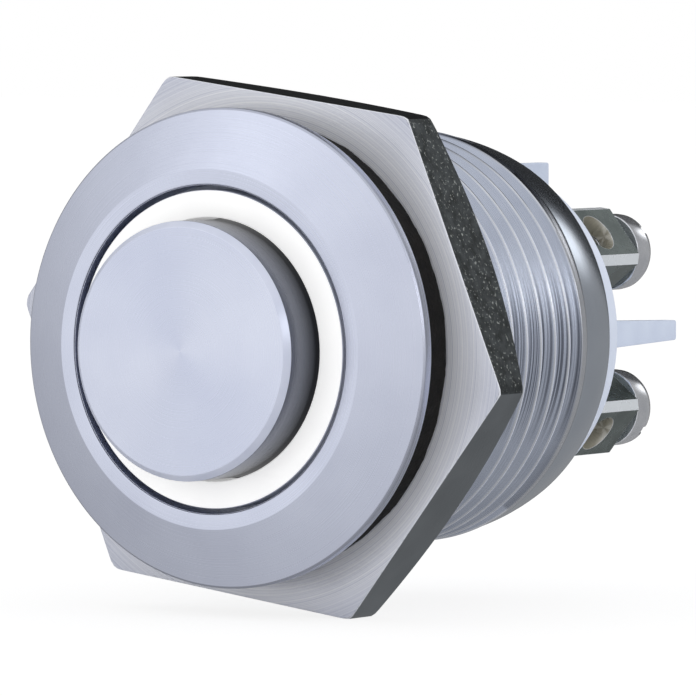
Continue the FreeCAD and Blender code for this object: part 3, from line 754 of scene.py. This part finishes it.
def make_nut():
    """Hexagonal nut with a 30 degree bevel behind, so its flats end in arcs."""
    low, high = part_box("panel_nut")
    front, back = low.y / MM, high.y / MM
    columns = []
    for angle in angles(NUT_SEGMENTS):
        outline = nut_outline(angle, front, back)
        columns.append([on_axis(angle, radius * MM, place * MM) for radius, place in outline])
    piece = grid_about_axis("hex_nut", columns, MATERIALS["nut_metal"], NUT_SHARP_ANGLE)
    least, most = NUT_EDGE_HIGHLIGHT_FACING

    # Painted highlight: the front edges of the flats get the bright edge material.
    def painted_light(radius, place, facing):
        near_front = place < front + NUT_EDGE or facing < -least
        return radius > NUT_APOTHEM - NUT_EDGE and near_front and -most < facing < 0

    paint_faces(piece, EDGE_HIGHLIGHT, painted_light)
    return dress(piece, "panel_nut", "nut")


def make_gasket():
    """Rubber gasket with a rough outer skin."""
    radius, front, back = extent("panel_gasket")

    def wobble(point):
        rough = sum(noise.noise(point / (width * MM)) * depth for width, depth in GASKET_GRAIN)
        return (rough - GASKET_LOSS) * MM

    corners = [
        (NUT_BORE, front), (radius, front, GASKET_FRONT_ROUND),
        (radius - GASKET_HOLLOW, (front + back) / 2), (radius, back, GASKET_BACK_ROUND), (NUT_BORE, back),
    ]
    piece = turned("gasket_ring", corners, MATERIALS["rubber"], wobble)
    return dress(piece, "panel_gasket", "housing")


def make_lit_ring():
    """Lit ring with a skirt behind; the front of its outer wall is grey, unlit plastic: painted shade for
    the line of its gap to the bezel.
    """
    radius, front, back = extent("light_ring")
    step = CAP_STOP_FRONT - RING_STOP_GAP
    corners = [
        (RING_BORE, front, SOFT), (RING_OUTER, front, RING_ROUND), (RING_OUTER, RIM_SHOULDER),
        (radius, RIM_SHOULDER, SOFT), (radius, back, BROAD), (RING_SKIRT_BORE, back, BROAD),
        (RING_SKIRT_BORE, step, SOFT), (RING_BORE, step),
    ]
    piece = turned("glow_ring", corners, MATERIALS["lit_plastic"])
    skin = RING_OUTER - RING_GAP_SKIN
    depth = RIM_SHOULDER + RING_GAP_DEPTH
    # Painted shade: the front of the outer wall gets the grey plastic.
    paint_faces(piece, RING_GAP_SHADE, lambda radius, place, _: radius > skin and place < depth)
    return dress(piece, "light_ring", "housing")


def make_cap():
    """Button cap: a cup with a bevelled front, a seal groove and a stop collar."""
    stop, front, back = extent("button_cap")
    groove_front, groove_back = CAP_GROOVE
    crown = front + CAP_FRONT_WALL
    bevel = front + CAP_BEVEL
    corners = [
        (0.0, front), (CAP_RADIUS - CAP_BEVEL, front, SOFT), (CAP_RADIUS, bevel, SOFT),
        (CAP_RADIUS, groove_front, FINE), (CAP_GROOVE_RADIUS, groove_front),
        (CAP_GROOVE_RADIUS, groove_back), (CAP_RADIUS, groove_back, FINE),
        (CAP_RADIUS, CAP_STOP_FRONT), (stop, CAP_STOP_FRONT, SOFT), (stop, back, SOFT),
        (CAP_BORE, back, SOFT), (CAP_BORE, crown, SOFT), (0.0, crown),
    ]
    piece = turned("cap", corners, CAP_METAL)
    # The bevel gets the brighter copy, free of the side's painted shade: a painted highlight.
    least, most = CAP_BEVEL_FACING
    paint_faces(piece, CAP_BEVEL_HIGHLIGHT, lambda _, place, facing: place < bevel and least < abs(facing) < most)
    return dress(piece, "button_cap", "button")


def make_base():
    """Base: a collar with a neck inside the barrel and a well in the neck."""
    radius, front, back = extent("rear_base")
    seat = extent("housing_barrel")[2]
    well = front + BASE_WELL_DEPTH
    corners = [
        (0.0, back), (0.0, well), (BASE_WELL, well, SOFT), (BASE_WELL, front, SOFT),
        (BASE_NECK, front, BROAD), (BASE_NECK, seat), (radius, seat, BASE_FRONT_ROUND),
        (radius, back, BASE_BACK_ROUND),
    ]
    piece = turned("base_collar", corners, MATERIALS["base_plastic"])
    return dress(piece, "rear_base", "housing")


def cut_slot(piece, top, way):
    """Cut a slot of the screws' size across the top of a piece on the axis, along a way."""
    bm = bmesh.new()
    bmesh.ops.create_cube(bm, size=1.0)
    across = Vector((SCREW_HEAD * 4, SCREW_SLOT_DEPTH * 2, SCREW_SLOT)) * MM
    bmesh.ops.scale(bm, vec=across, verts=bm.verts)
    turn = Matrix.Rotation(-math.atan2(way.z, way.x), 4, "Y")
    bmesh.ops.transform(bm, matrix=Matrix.Translation((0, top, 0)) @ turn, verts=bm.verts)
    cutter = finish_mesh("slot_cutter", bm, MATERIALS["screw_metal"])
    cut = piece.modifiers.new("slot", "BOOLEAN")
    cut.object = cutter
    whole = piece.data
    piece.data = bpy.data.meshes.new_from_object(piece.evaluated_get(bpy.context.evaluated_depsgraph_get()))
    piece.modifiers.clear()
    bpy.data.meshes.remove(whole)
    bpy.data.meshes.remove(cutter.data)


def make_screw(side):
    """Terminal screw: a domed head with a slot on a shank."""
    node = f"terminal_screw_{side}"
    low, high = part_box(node)
    middle = (low + high) / 2
    foot, top = low.y / MM, high.y / MM
    neck = top - SCREW_HEAD_HEIGHT
    corners = [
        (0.0, foot), (SCREW_SHANK, foot, SOFT), (SCREW_SHANK, neck),
        (SCREW_HEAD, neck, SCREW_HEAD_ROUND), (SCREW_HEAD, top, SCREW_DOME), (0.0, top),
    ]
    piece = turned(f"{side}_screw", corners, MATERIALS["screw_metal"])
    cut_slot(piece, high.y, wire_hole(side)[1])
    piece.data.transform(Matrix.Translation((middle.x, 0, middle.z)))
    piece.data.set_sharp_from_angle(angle=SHARP_ANGLE)
    return dress(piece, node, "housing")


def make_spring(node, body):
    """Spring: a copy of its solid's mesh that rides on a body."""
    piece = bpy.data.objects.new(f"{node}_coil", frame["nodes"][node].data.copy())
    bpy.context.scene.collection.objects.link(piece)
    dress(piece, node, body)
    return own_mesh(piece)


def soften_edges(node, width, painted_light=False):
    """Round the edges of a solid that stays, with modifiers, and give them a painted highlight where asked.
    """
    piece = frame["nodes"][node]
    weld = piece.modifiers.new("weld", "WELD")
    weld.merge_threshold = WELD_REACH * MM
    bevel = piece.modifiers.new("bevel", "BEVEL")
    bevel.width = width * MM
    bevel.segments = BEVEL_STEPS
    bevel.limit_method = "ANGLE"
    bevel.angle_limit = BEVEL_ANGLE
    bevel.harden_normals = True
    # Painted highlight: the bevels get the bright edge material.
    if painted_light:
        piece.data.materials.append(EDGE_HIGHLIGHT)
        bevel.material = 1


def paint_solids():
    """Give each solid the material of its slot in the record."""
    for part in frame["record"]["subparts"]:
        node = frame["nodes"][part["node"]]
        node.data.materials.clear()
        node.data.materials.append(MATERIALS[part["material_slot"]])


# Stage, lamps and camera

def floor_material():
    """Pale floor that glows white to the eye, keeps the object's shadow, and lets gloss see past it."""
    surface = Surface("white_floor")
    surface.set("Base Color", "F4F4F6")
    surface.set("Roughness", 0.9)
    paths = surface.add("ShaderNodeLightPath").outputs
    seen = surface.calculate("MULTIPLY", paths["Is Camera Ray"], FLOOR_GLOW_SHARE)
    white = surface.add("ShaderNodeEmission", Color="FFFFFF", Strength=FLOOR_GLOW)
    plain = surface.add("ShaderNodeMixShader", seen, surface.shader.outputs[0], white.outputs[0])
    clear = surface.add("ShaderNodeBsdfTransparent")
    mix = surface.add("ShaderNodeMixShader", paths["Is Glossy Ray"], plain.outputs[0], clear.outputs[0])
    surface.feed(surface.tree.nodes["Material Output"].inputs["Surface"], mix.outputs[0])
    return surface.material


def make_floor(low):
    """Floor just below the object."""
    level = low.z - FLOOR_GAP
    signs = ((-1, -1), (1, -1), (1, 1), (-1, 1))
    mesh = bpy.data.meshes.new("floor")
    mesh.from_pydata([(FLOOR_REACH * x, FLOOR_REACH * y, level) for x, y in signs], [], [(0, 1, 2, 3)])
    mesh.materials.append(floor_material())
    floor = bpy.data.objects.new("floor", mesh)
    bpy.context.scene.collection.objects.link(floor)


def make_world():
    """White to the eye. Gloss sees that white in front, and a room that darkens behind.

    A dark card and a small bright one stand behind the object, for the contours of its metal.
    """
    world = bpy.data.worlds.new("studio")
    bpy.context.scene.world = world
    world.use_nodes = True
    nodes = Nodes(world.node_tree)
    way = nodes.add("ShaderNodeTexCoord").outputs["Generated"]
    level = nodes.calculate("ADD", nodes.dot(way, ROOM_SLOPE), ROOM_LEVEL)
    room = nodes.calculate("MAXIMUM", level, ROOM_LEAST)
    for card in CARDS.values():
        patch = nodes.spread(nodes.dot(way, card["way"]), card["edges"], 0.0, card["level"], "SMOOTHSTEP")
        room = nodes.calculate("ADD", room, patch)
    paths = nodes.add("ShaderNodeLightPath").outputs
    strength = nodes.add("ShaderNodeMix", Factor=paths["Is Glossy Ray"], A=1.0, B=room)
    background = world.node_tree.nodes["Background"]
    nodes.feed(background.inputs["Color"], "FFFFFF")
    nodes.feed(background.inputs["Strength"], strength.outputs["Result"])


def make_lamps():
    """Round soft lamps that look at the origin."""
    for name, lamp in LAMPS.items():
        data = bpy.data.lights.new(name, "AREA")
        data.shape = "DISK"
        data.size = lamp["width"]
        data.energy = lamp["power"]
        piece = bpy.data.objects.new(name, data)
        piece.location = lamp["place"]
        piece.rotation_mode = "QUATERNION"
        piece.rotation_quaternion = (-Vector(lamp["place"])).to_track_quat("-Z", "Y")
        bpy.context.scene.collection.objects.link(piece)


def make_camera(rim_front):
    """Camera at the photo's angle, moved aside until the rim's centre falls on its pixel."""
    back = Vector((
        math.sin(CAMERA_AZIMUTH) * math.cos(CAMERA_ELEVATION),
        -math.cos(CAMERA_AZIMUTH) * math.cos(CAMERA_ELEVATION),
        math.sin(CAMERA_ELEVATION)))
    right = Vector((math.cos(CAMERA_AZIMUTH), math.sin(CAMERA_AZIMUTH), 0))
    up = back.cross(right)
    across = (PHOTO_SIDE / 2 - RIM_PIXEL[0]) / PIXELS_PER_MM * MM
    rise = (RIM_PIXEL[1] - PHOTO_SIDE / 2) / PIXELS_PER_MM * MM
    data = bpy.data.cameras.new("camera")
    data.sensor_width = SENSOR
    data.lens = SENSOR * PIXELS_PER_MM * CAMERA_DISTANCE / MM / PHOTO_SIDE
    data.clip_start, data.clip_end = CAMERA_CLIP
    camera = bpy.data.objects.new("camera", data)
    camera.location = Vector((0, rim_front, 0)) + back * CAMERA_DISTANCE + right * across + up * rise
    camera.rotation_mode = "QUATERNION"
    camera.rotation_quaternion = (-back).to_track_quat("-Z", "Y")
    bpy.context.scene.collection.objects.link(camera)
    bpy.context.scene.camera = camera


bpy.context.scene.view_settings.view_transform = "Standard"
paint_solids()
make_housing()
make_nut()
make_gasket()
make_lit_ring()
make_cap()
make_base()
for side in ("upper", "lower"):
    frame["nodes"][f"terminal_post_{side}"].data.materials[0] = POST_METALS[side]
    soften_edges(f"terminal_post_{side}", POST_BEVEL, painted_light=True)
    make_screw(side)
make_spring("return_spring", "button")
make_spring("contact_spring", "bridge")
for pin in ("lamp_pin_side", "lamp_pin_top"):
    soften_edges(pin, PIN_BEVEL)
make_camera(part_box("housing_barrel")[0].y)
make_world()
make_lamps()
low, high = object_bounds()
make_floor(low)
